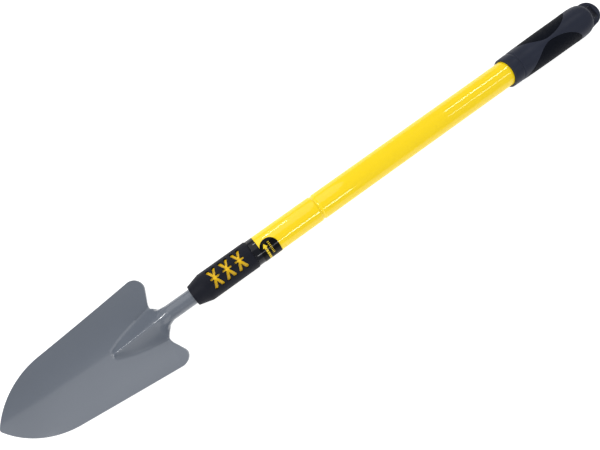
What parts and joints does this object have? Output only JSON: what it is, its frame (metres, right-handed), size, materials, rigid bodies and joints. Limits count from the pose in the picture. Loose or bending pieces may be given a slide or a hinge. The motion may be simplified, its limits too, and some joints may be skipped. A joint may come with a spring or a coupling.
{
  "type": "hand trowel",
  "caption": "Hand trowel with a dished steel blade on a telescopic tube handle that locks with a twist, and a moulded grip with a hang slot.",
  "frame": {"origin": "centre of the hang slot, on the axis of the handle", "axes": "+X along the handle from the blade to the grip end, +Z the way the open side of the blade faces"},
  "size_m": [0.6329, 0.0844, 0.0308],
  "materials": {
    "blade_steel": "satin grey-blue coat over pressed steel",
    "core_plastic": "smooth yellow nylon",
    "collar_rubber": "matt dark slate elastomer",
    "pin_steel": "zinc plated",
    "tube_steel": "bright plated, lightly drawn along its length",
    "nylon": "natural nylon",
    "cone_plastic": "black acetal",
    "yellow_paint": "glossy yellow powder coat",
    "bush_plastic": "glossy black",
    "label_film": "black printed film with a yellow turn arrow",
    "grip_plastic": "fine matt dark slate",
    "pad_rubber": "matt black elastomer with a fine texture"
  },
  "bodies": {
    "handle": {"outer_tube": "yellow_paint", "mouth_bush": "bush_plastic", "tighten_label": "label_film", "grip_core": "grip_plastic", "grip_pad_left": "pad_rubber", "grip_pad_right": "pad_rubber", "end_cap": "grip_plastic"},
    "carriage": {"expander_sleeve": "nylon"},
    "head": {"blade": "blade_steel", "collar_core": "core_plastic", "collar_sleeve": "collar_rubber", "collar_pins": "pin_steel", "inner_tube": "tube_steel", "expander_plug": "nylon", "plug_pin": "pin_steel", "expander_stud": "pin_steel", "thrust_washer": "pin_steel", "stop_nut": "pin_steel"},
    "cone": {"expander_cone": "cone_plastic"}
  },
  "joints": [
    {"name": "telescope", "type": "slide", "parent": "handle", "child": "carriage", "axis": [-1, 0, 0], "range_m": [0, 0.255]},
    {"name": "head_twist", "type": "hinge", "parent": "carriage", "child": "head", "pos_m": [-0.046, 0, 0], "axis": [-1, 0, 0], "range_deg": [0, 540]},
    {"name": "cone_travel", "type": "slide", "parent": "carriage", "child": "cone", "axis": [1, 0, 0], "range_m": [0, 0.003]}
  ],
  "couplings": [
    {"joint": "cone_travel", "follows": "head_twist", "m_per_rad": 0.00031831}
  ]
}
